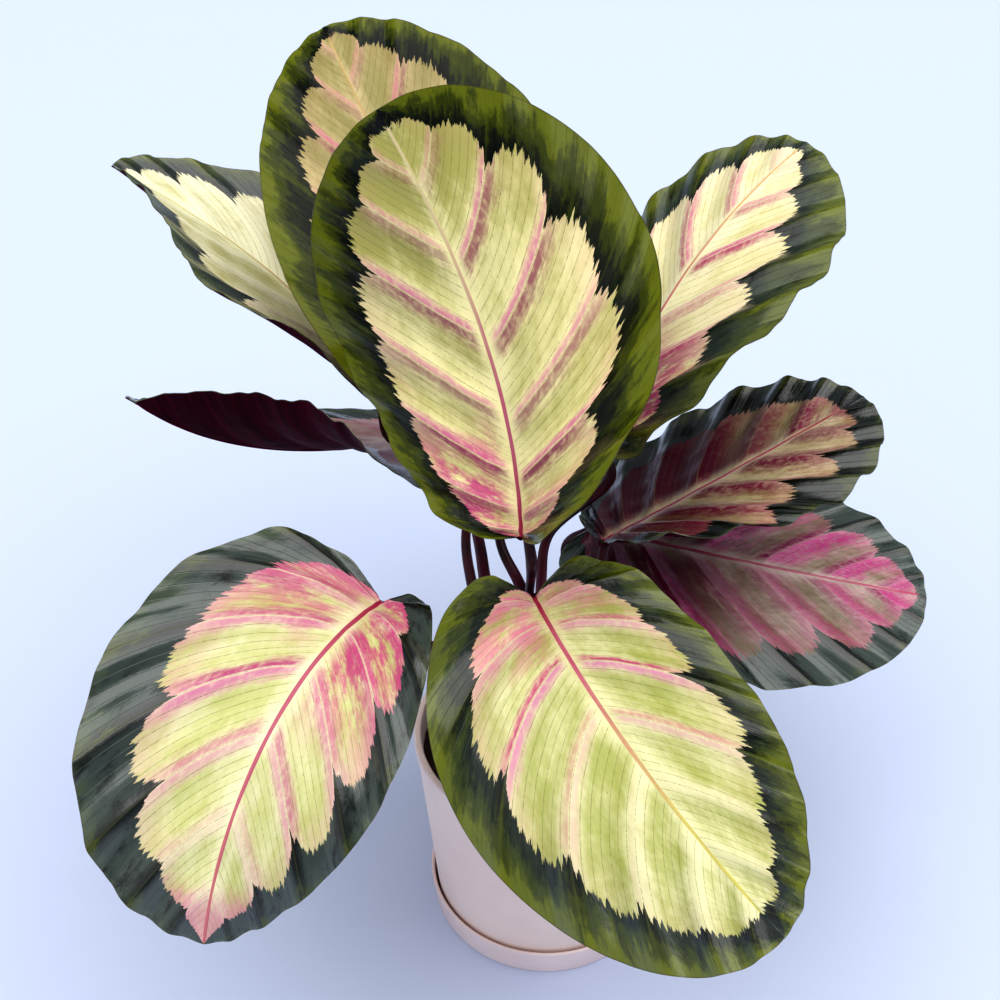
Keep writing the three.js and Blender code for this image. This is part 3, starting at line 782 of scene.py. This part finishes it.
def paintBorder(p):
    # black beside the pale middle and blotched with green further out, with a painted sheen and painted
    # ridge highlights
    s, look, grain = borderSet, p.look, p.grain
    pale = p.colour
    beyond = (p.reach - p.edge) / (p.edge.flipped() + s["leastWidth"])
    outward = beyond * s["outward"] + (grain["blotch"] - 0.5) * s["blotch"]
    outward = outward + (grain["feather"] - 0.5) * s["feather"] + (look["olive"] - s["less"])
    p.colour = p.finish.mix(outward.step(*s["darkRange"]), s["black"], s["darkGreen"])
    p.cover(outward.step(*s["oliveRange"]), s["olive"])
    p.cover((outward + (grain["streak"] - 0.5) * s["streak"]).step(*s["brightRange"]), s["brightOlive"])
    away, blotched = s["paintedSheenPatches"]
    # painted sheen: a grey reflection laid on the border away from the ridges
    p.cover(p.near.step(*away) * grain["blotch"].step(*blotched) * look["paintedSheen"], s["sheenGrey"])
    # painted highlight: a light olive line along each ridge's crest
    p.cover(p.crest * s["crest"], s["brightOlive"])
    p.cover(p.line * s["line"], s["black"])
    p.cover(p.reach.step(*s["marginAt"]) * s["marginShare"], s["margin"])
    p.cover(p.patch, pale)


ribSet = dict(
    width=(1.5, 0.55),  # how much wider it is at the base, and its least half width, mm
    edge=(1.08, 0.8), uneven=0.2, redFrom=0.2, paleAt=0.95,
    glowWidth=3.2,  # times the midrib's own
    glowEdge=(1, 0.25), glowRange=(0.7, 0.1), glowShare=0.6, base=(160, 36, 74), middle=(192, 104, 124),
    glow=(200, 92, 134))


def paintRib(p):
    # the midrib, red at the base and fading into the pale middle
    s, f, look = ribSet, p.finish, p.look
    width = p.along.flipped().scaled(*s["width"])
    place = p.along + (p.grain["cloud"] - 0.5) * s["uneven"]
    tint = f.mix(place.step(s["redFrom"], look["red"]), s["base"], s["middle"])
    tint = f.mix(place.step(look["red"], s["paleAt"]), tint, look["ribTip"])
    glow = (p.aside / (width * s["glowWidth"])).step(*s["glowEdge"]) * p.along.step(*s["glowRange"])
    p.cover(glow * p.grain["mottle"] * s["glowShare"] * p.patch, s["glow"])
    p.cover((p.aside / width).step(*s["edge"]) * p.patch, tint)


skinSet = dict(
    bumpShares={"quilt": 0.6, "streak": 0.2}, bumpLine=0.5, bump=(0.0003, 0.5),
    roughness=0.22, cloudShare=0.1)


def leafFace(name, look):
    s = skinSet
    p = LeafPaint(name, look)
    for paint in (paintPatch, paintStripes, paintBlush, paintVeins, paintBorder, paintRib):
        paint(p)
    f = p.finish
    f.set("Base Color", p.colour)
    f.bump(p.blend(s["bumpShares"]) - p.line * s["bumpLine"], *s["bump"])
    uneven = (p.grain["cloud"] - 0.5) * s["cloudShare"]
    f.set("Roughness", p.patch * look["duller"] + s["roughness"] + uneven)
    f.set("Specular IOR Level", p.patch.scaled(look["innerGloss"] - look["gloss"], look["gloss"]))
    return f


# the leaves' underside
backSet = dict(
    seedStep=5.1, streak=(8, 1.2, 0, 3, 0.6), streakRange=(0.3, 0.7), ridge=(0.05, 0.01),
    ridgeShare=0.3, perBand=6, line=(0.08, 0.02), lineShare=0.12, marginAt=(0.992, 0.999),
    marginShare=0.5, keelWidth=(1.8, 0.7), keelEdge=(1.1, 0.7), keelShare=0.8,
    bumpLine=0.6, bumpStreak=0.4, bump=(0.0004, 0.6), roughness=(0.15, 0.5), gloss=0.03,
    maroon=(72, 6, 36), dark=(48, 3, 22), keel=(96, 22, 52), margin=(84, 60, 50))


def leafBack(name, look):
    s = backSet
    f = Finish(name)
    band, reach, along, aside = [f.reading(label) for label in ("band", "reach", "along", "aside")]
    seed = look["seed"] * s["seedStep"]
    streak = f.grain(band + seed, reach, seed, *s["streak"])

    def nearest(number):
        # distance from the nearest whole number
        part = number.maths("FRACT")
        return part.maths("MINIMUM", part.flipped())

    line = nearest(band * s["perBand"]).step(*s["line"])
    keel = (aside / along.flipped().scaled(*s["keelWidth"])).step(*s["keelEdge"])
    colour = f.mix(streak.step(*s["streakRange"]), s["dark"], s["maroon"])
    for share, tint in ((nearest(band).step(*s["ridge"]) * s["ridgeShare"], "keel"),
                        (line * s["lineShare"], "keel"),
                        (reach.step(*s["marginAt"]) * s["marginShare"], "margin"),
                        (keel * s["keelShare"], "keel")):
        colour = f.mix(share, colour, s[tint])
    f.set("Base Color", colour)
    f.bump(line * s["bumpLine"] + streak * s["bumpStreak"], *s["bump"])
    f.set("Roughness", streak.scaled(*s["roughness"]))
    f.set("Specular IOR Level", s["gloss"])
    return f


# stalks
stalkSet = dict(
    sides=20, steps=70, soilTop=111, soilMound=5, footDepth=22, straightFoot=5, topRadius=2.2,
    taperEnd=0.75, jointRadius=2.7, jointShare=0.93, jointSpread=0.1, jointBend=10, topGap=1.1,
    topDrop=3,
    tailRun=5,  # the end that runs on into the midrib: how far forward and up, mm
    tailRise=1.2, tailSteps=(0.35, 0.7, 1),
    bodyEnd=0.97,  # share of the stalk before its end narrows
    narrowing=0.45,
    sheathEnd=0.42,  # share of the stalk that the sheath wraps
    sheathFade=60, sheathLeast=0.01, sheathThick=0.05, grooveWidth=0.16, grooveDepth=0.22)

stalkSkinSet = dict(
    fine=(420,), cloud=(45,), tone=(0, 1), toneRange=(0.3, 0.7), bump=(1, 0), bumpSize=(0.0003, 0.5),
    rough=(0, 0.2), leastRough=0.3, dark=(40, 4, 20), light=(92, 10, 40),
    sheathRange=(0.45, 0.3), sheathShares=(0.5, 0.2), sheath=(120, 60, 84),
    jointRange=(0.84, 0.9), jointCloud=(0.2, 0.6), jointShare=0.75, joint=(66, 18, 32))


def smoothLine(points, steps=40):
    # a smooth line through the points that doesn't overshoot at uneven spacing
    points = [np.array(p, float) for p in points]
    ends = [2 * points[0] - points[1]] + points + [2 * points[-1] - points[-2]]
    line = []
    for one, two, three, four in zip(ends, ends[1:], ends[2:], ends[3:]):
        gaps = [np.linalg.norm(b - a) ** 0.5 for a, b in ((one, two), (two, three), (three, four))]
        start = (two - one) / gaps[0] - (three - one) / (gaps[0] + gaps[1]) + (three - two) / gaps[1]
        finish = (three - two) / gaps[1] - (four - two) / (gaps[1] + gaps[2]) + (four - three) / gaps[2]
        start, finish = start * gaps[1], finish * gaps[1]
        for t in np.linspace(0, 1, steps, endpoint=False):
            cubic = 2 * two - 2 * three + start + finish
            square = -3 * two + 3 * three - 2 * start - finish
            line.append(two + start * t + square * t * t + cubic * t ** 3)
    line.append(points[-1])
    return np.array(line)


def evenly(line, count):
    runs = np.concatenate([[0], np.cumsum(np.linalg.norm(np.diff(line, axis=0), axis=1))])
    wanted = np.linspace(0, runs[-1], count)
    return np.stack([np.interp(wanted, runs, line[:, k]) for k in range(3)], 1)


def stalkLine(leaf):
    s = stalkSet
    point, direction, _, face = [line[0] for line in spineOf(leaf)]
    end = point - direction * s["topGap"] - face * s["topDrop"]
    before = end - (direction + face * leaf.get("under", 1)) * s["jointBend"]
    x, y = leaf["foot"]
    foot = [(x, y, s["soilTop"] - s["footDepth"]), (x, y, s["soilTop"] - s["footDepth"] / 2),
            (x, y, s["soilTop"] + s["soilMound"] + s["straightFoot"])]
    line = smoothLine(foot + list(leaf["way"]) + [before, end])
    tail = [end + (direction * s["tailRun"] + face * s["tailRise"]) * t for t in s["tailSteps"]]
    return evenly(np.vstack([line, tail]), s["steps"] + 1)


def stalkRadius(leaf, share):
    s = stalkSet
    body = min(share / s["bodyEnd"], 1)
    taper = mix(leaf["footRadius"], s["topRadius"], min(body / s["taperEnd"], 1))
    joint = max(0, 1 - abs(body - s["jointShare"]) / s["jointSpread"])
    joint = joint * joint * (3 - 2 * joint)
    radius = max(taper, mix(s["topRadius"], s["jointRadius"], joint))
    return radius * (1 - s["narrowing"] * max(0, (share - s["bodyEnd"]) / (1 - s["bodyEnd"])))


def buildStalk(name, leaf, finish):
    s = stalkSet
    n, steps = s["sides"], s["steps"]
    line = stalkLine(leaf)
    tangents = np.gradient(line, axis=0)
    tangents /= np.linalg.norm(tangents, axis=1)[:, None]
    across = np.array([1.0, 0.0, 0.0])
    points, faces, shares = [], [], []
    for share, centre, tangent in zip(np.linspace(0, 1, steps + 1), line, tangents):
        across = across - tangent * across.dot(tangent)
        across /= np.linalg.norm(across)
        other = np.cross(tangent, across)
        radius = stalkRadius(leaf, share)
        sheath = 1 / (1 + math.exp((share - s["sheathEnd"]) * s["sheathFade"]))
        for side in range(n):
            angle = 2 * math.pi * side / n
            groove = 0
            if sheath > s["sheathLeast"]:
                groove = math.exp(-((math.cos(angle / 2) / s["grooveWidth"]) ** 2))
            here = radius * (1 - s["grooveDepth"] * sheath * groove + s["sheathThick"] * sheath)
            points.append(centre + (across * math.cos(angle) + other * math.sin(angle)) * here)
            shares.append(share)
    for step in range(steps):
        for side in range(n):
            a, b = step * n + side, step * n + (side + 1) % n
            faces.append((a, b, b + n, a + n))
    faces.append(tuple(reversed(range(n))))
    faces.append(tuple(range(steps * n, steps * n + n)))
    piece = newPiece(f"petiole_{name}", np.array(points) * mm, faces, (finish,))
    carry(piece, "rise", [shares[v] for face in faces for v in face])
    return piece


def stalkFinish():
    s = stalkSkinSet
    f, colour, streak, cloud = grainyFinish("petioleSkin", s)
    rise = f.reading("rise")
    sheath = rise.step(*s["sheathRange"]) * streak.scaled(*s["sheathShares"])
    joint = rise.step(*s["jointRange"]) * s["jointShare"] * cloud.step(*s["jointCloud"])
    f.set("Base Color", f.mix(joint, f.mix(sheath, colour, s["sheath"]), s["joint"]))
    return f


# pot and saucer: plain turned forms
plasticSet = dict(
    sides=160, cornerSteps=6, fine=(900, 1), cloud=(14, 3), tone=(0, 1), toneRange=(0.3, 0.7),
    bump=(0.6, 0.4), bumpSize=(0.00008, 0.35), rough=(0, 0.15), leastRough=0.47,
    speckScale=160, speckSize=(0.055, 0.03), speckCloud=40, speckRange=(0.62, 0.68), speckShare=0.5,
    speck=(120, 96, 92))


def roundedProfile(places, rounds):
    # each place is a radius and height; its corner is cut back by its rounding and joined by a curve
    line = []
    count = len(places)
    places = [np.array(place, float) for place in places]
    for index, (here, rounding) in enumerate(zip(places, rounds)):
        if rounding == 0:
            line.append(here)
            continue
        before, after = places[index - 1], places[(index + 1) % count]
        start = here + (before - here) / np.linalg.norm(before - here) * rounding
        end = here + (after - here) / np.linalg.norm(after - here) * rounding
        for t in np.linspace(0, 1, plasticSet["cornerSteps"]):
            line.append((1 - t) ** 2 * start + 2 * t * (1 - t) * here + t * t * end)
    return line


def turn(name, profile, finish):
    # a closed ring or disc round the upright axis
    sides = plasticSet["sides"]
    points, faces, rings = [], [], []
    for radius, height in profile:
        if radius < 1e-6:
            rings.append([len(points)] * sides)
            points.append((0, 0, height))
            continue
        rings.append(range(len(points), len(points) + sides))
        for cosine, sine in (around(sides, side) for side in range(sides)):
            points.append((radius * cosine, radius * sine, height))
    closed = profile[0][0] > 1e-6
    pairs = list(zip(rings, rings[1:])) + ([(rings[-1], rings[0])] if closed else [])
    for low, high in pairs:
        for side in range(sides):
            after = (side + 1) % sides
            quad = [low[side], low[after], high[after], high[side]]
            kept = [v for k, v in enumerate(quad) if v != quad[k - 1]]
            if len(kept) > 2:
                faces.append(kept)
    return newPiece(name, np.array(points) * mm, faces, (finish,))


def plasticFinish(name, tints):
    s = {**plasticSet, **tints}
    f, colour, _, _ = grainyFinish(name, s)
    spot = f.place()
    speck = f.cells(spot, scale=s["speckScale"]).step(*s["speckSize"])
    speck = speck * f.noise(spot, scale=s["speckCloud"]).step(*s["speckRange"])
    f.set("Base Color", f.mix(speck * s["speckShare"], colour, s["speck"]))
    return f


potSet = dict(
    bottom=2.8, height=125, rimRadius=70, footRadius=59.5, lipFlare=1.2, lipThickness=3.6, lipDepth=9,
    lipTurn=4,  # how far below and above the lip's lower edge its outside curves
    lipInside=2,  # how far below it the inside does
    wall=3, floor=4, drainRadius=8,
    rounds=(0.6, 2.2, 3, 3.5, 1.75, 1.75, 2, 2.5, 0.6),  # from the drain hole up, in and down
    light=(252, 234, 225), dark=(245, 223, 215))


def potRadius(height):
    s = potSet
    lipBottom = s["height"] - s["lipDepth"]
    share = (height - s["bottom"]) / (lipBottom - s["bottom"])
    return mix(s["footRadius"], s["rimRadius"] - s["lipFlare"], share)


def buildPot():
    s = potSet
    bottom, top = s["bottom"], s["height"]
    lipBottom = top - s["lipDepth"]
    under, over, inside = lipBottom - s["lipTurn"], lipBottom + s["lipTurn"], lipBottom - s["lipInside"]
    floor = bottom + s["floor"]
    places = [
        (s["drainRadius"], bottom), (s["footRadius"], bottom), (potRadius(under), under),
        (s["rimRadius"], over), (s["rimRadius"], top), (s["rimRadius"] - s["lipThickness"], top),
        (potRadius(inside) - s["wall"], inside), (potRadius(floor) - s["wall"], floor),
        (s["drainRadius"], floor),
    ]
    return turn("planter", roundedProfile(places, s["rounds"]), plasticFinish("potPlastic", s))


saucerSet = dict(
    height=18, topRadius=64, footRadius=62, wall=1.8, floor=2.5,
    rounds=(0, 1.4, 0.8, 0.8, 1.6, 0),  # from the middle out, up, in and down
    light=(248, 230, 228), dark=(238, 218, 216))


def buildSaucer():
    s = saucerSet
    places = [
        (0, 0), (s["footRadius"], 0), (s["topRadius"], s["height"]),
        (s["topRadius"] - s["wall"], s["height"]), (s["footRadius"] - s["wall"], s["floor"]),
        (0, s["floor"]),
    ]
    return turn("drip_saucer", roundedProfile(places, s["rounds"]), plasticFinish("saucerPlastic", s))


# soil
soilSet = dict(
    rings=46, sides=140,
    gapBelow=0.3,  # between the soil and the pot, mm
    gapAround=0.4, rough=0.45, broadLumps=(0.31, 1, 0.27, 0.7), smallLumps=(0.83, 0.61, 0.35), seed=11,
    # name: how many, and their least and greatest size in mm
    bits={"soil_crumbs": (620, (0.8, 2.6)), "perlite_bits": (70, (0.8, 1.9))},
    bitMargin=3,  # how far they stay from the wall, mm
    bitLift=0.15,  # how much of its size a bit is raised
    bitUneven=(0.65, 1.25), bitFlat=0.8, bitTilt=0.7, dark=(26, 17, 12), brown=(70, 48, 34),
    pearl=(196, 188, 174), pale=(226, 220, 208))

soilSkinSet = dict(
    fine=(260, 4, 0.65), cloud=(70,), tone=(0.7, 0.4), toneRange=(0.35, 0.8), bump=(1, 0),
    bumpSize=(0.0012, 0.9), rough=(0.2, 0), leastRough=0.78)


def addBit(chance, centre, size, points, faces):
    # a small uneven lump with 8 sides
    s = soilSet
    corners = [(1, 0, 0), (-1, 0, 0), (0, 1, 0), (0, -1, 0), (0, 0, 1), (0, 0, -1)]
    first = len(points)
    turnBy = chance.uniform(0, 2 * math.pi)
    tilt = chance.uniform(-s["bitTilt"], s["bitTilt"])
    for x, y, z in corners:
        k = size * chance.uniform(*s["bitUneven"])
        x, y, z = x * k, y * k, z * k * s["bitFlat"]
        x, z = x * math.cos(tilt) - z * math.sin(tilt), x * math.sin(tilt) + z * math.cos(tilt)
        x, y = x * math.cos(turnBy) - y * math.sin(turnBy), x * math.sin(turnBy) + y * math.cos(turnBy)
        points.append((centre[0] + x, centre[1] + y, centre[2] + z))
    for a, b, c in ((0, 2, 4), (2, 1, 4), (1, 3, 4), (3, 0, 4), (2, 0, 5), (1, 2, 5), (3, 1, 5), (0, 3, 5)):
        faces.append((first + a, first + b, first + c))


def soilRadius(height):
    return potRadius(height) - potSet["wall"] - soilSet["gapAround"]


def soilHeight(radius, x, y):
    mound = stalkSet["soilMound"] * (1 - (radius / soilRadius(stalkSet["soilTop"])) ** 2)
    fineX, offset, fineY, high = soilSet["broadLumps"]
    broad = math.sin(x * fineX + offset) * math.cos(y * fineY) * high
    fineX, fineY, high = soilSet["smallLumps"]
    return stalkSet["soilTop"] + mound + (broad + math.sin(x * fineX + y * fineY) * high)


def buildBed(chance, finish):
    s, n = soilSet, soilSet["sides"]
    floor = potSet["bottom"] + potSet["floor"] + s["gapBelow"]
    topRadius, bottomRadius = soilRadius(stalkSet["soilTop"]), soilRadius(floor)
    circle = [around(n, side) for side in range(n)]
    points, faces = [(0, 0, soilHeight(0, 0, 0))], []
    for ring in range(1, s["rings"] + 1):
        radius = topRadius * ring / s["rings"]
        for cosine, sine in circle:
            x, y = radius * cosine, radius * sine
            rough = chance.uniform(-s["rough"], s["rough"]) if ring < s["rings"] else 0
            points.append((x, y, soilHeight(radius, x, y) + rough))
    points += [(bottomRadius * cosine, bottomRadius * sine, floor) for cosine, sine in circle]
    points.append((0, 0, floor))
    for side in range(n):
        after = (side + 1) % n
        faces.append((0, 1 + side, 1 + after))
        for ring in range(s["rings"]):
            a, b = 1 + ring * n + side, 1 + ring * n + after
            faces.append((a, a + n, b + n, b))
        faces.append((len(points) - 1, 1 + s["rings"] * n + after, 1 + s["rings"] * n + side))
    return newPiece("potting_soil", np.array(points) * mm, faces, (finish,))


def buildBits(chance, label, finish):
    s = soilSet
    count, sizes = s["bits"][label]
    points, faces = [], []
    for _ in range(count):
        radius = (soilRadius(stalkSet["soilTop"]) - s["bitMargin"]) * math.sqrt(chance.random())
        angle = chance.uniform(0, 2 * math.pi)
        x, y = radius * math.cos(angle), radius * math.sin(angle)
        size = chance.uniform(*sizes)
        addBit(chance, (x, y, soilHeight(radius, x, y) + size * s["bitLift"]), size, points, faces)
    return newPiece(label, np.array(points) * mm, faces, (finish,), smooth=False)


def soilFinish(name, dark, light):
    f, colour, _, _ = grainyFinish(name, {**soilSkinSet, "dark": dark, "light": light})
    f.set("Base Color", colour)
    return f


makeCamera()
makeLight()
makeFloor()
print("stage ready")

stalkSkin = stalkFinish()
for name, placing in leaves.items():
    look = {**usualLook, **looks[name]}
    leaf = {**placing, "seed": look["seed"]}
    blade = buildBlade(name, leaf, leafFace(f"face_{name}", look), leafBack(f"back_{name}", look))
    own(blade, "leaf_blade", f"blade_{name}")
    own(buildStalk(name, leaf, stalkSkin), "leaf_stalk", f"stalk_{name}")
    print("leaf", name, "made with", len(blade.data.polygons), "faces")

own(buildPot(), "pot_plastic", "pot")
own(buildSaucer(), "saucer_plastic", "saucer")
print("pot and saucer made")

soilChance = random.Random(soilSet["seed"])
soilSkin = soilFinish("soilCrumb", soilSet["dark"], soilSet["brown"])
own(buildBed(soilChance, soilSkin), "potting_soil", "soil")
for label, finish in (("soil_crumbs", soilSkin),
                      ("perlite_bits", soilFinish("perliteCrumb", soilSet["pearl"], soilSet["pale"]))):
    bits = buildBits(soilChance, label, finish)
    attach(bits, "root")
print("soil made")
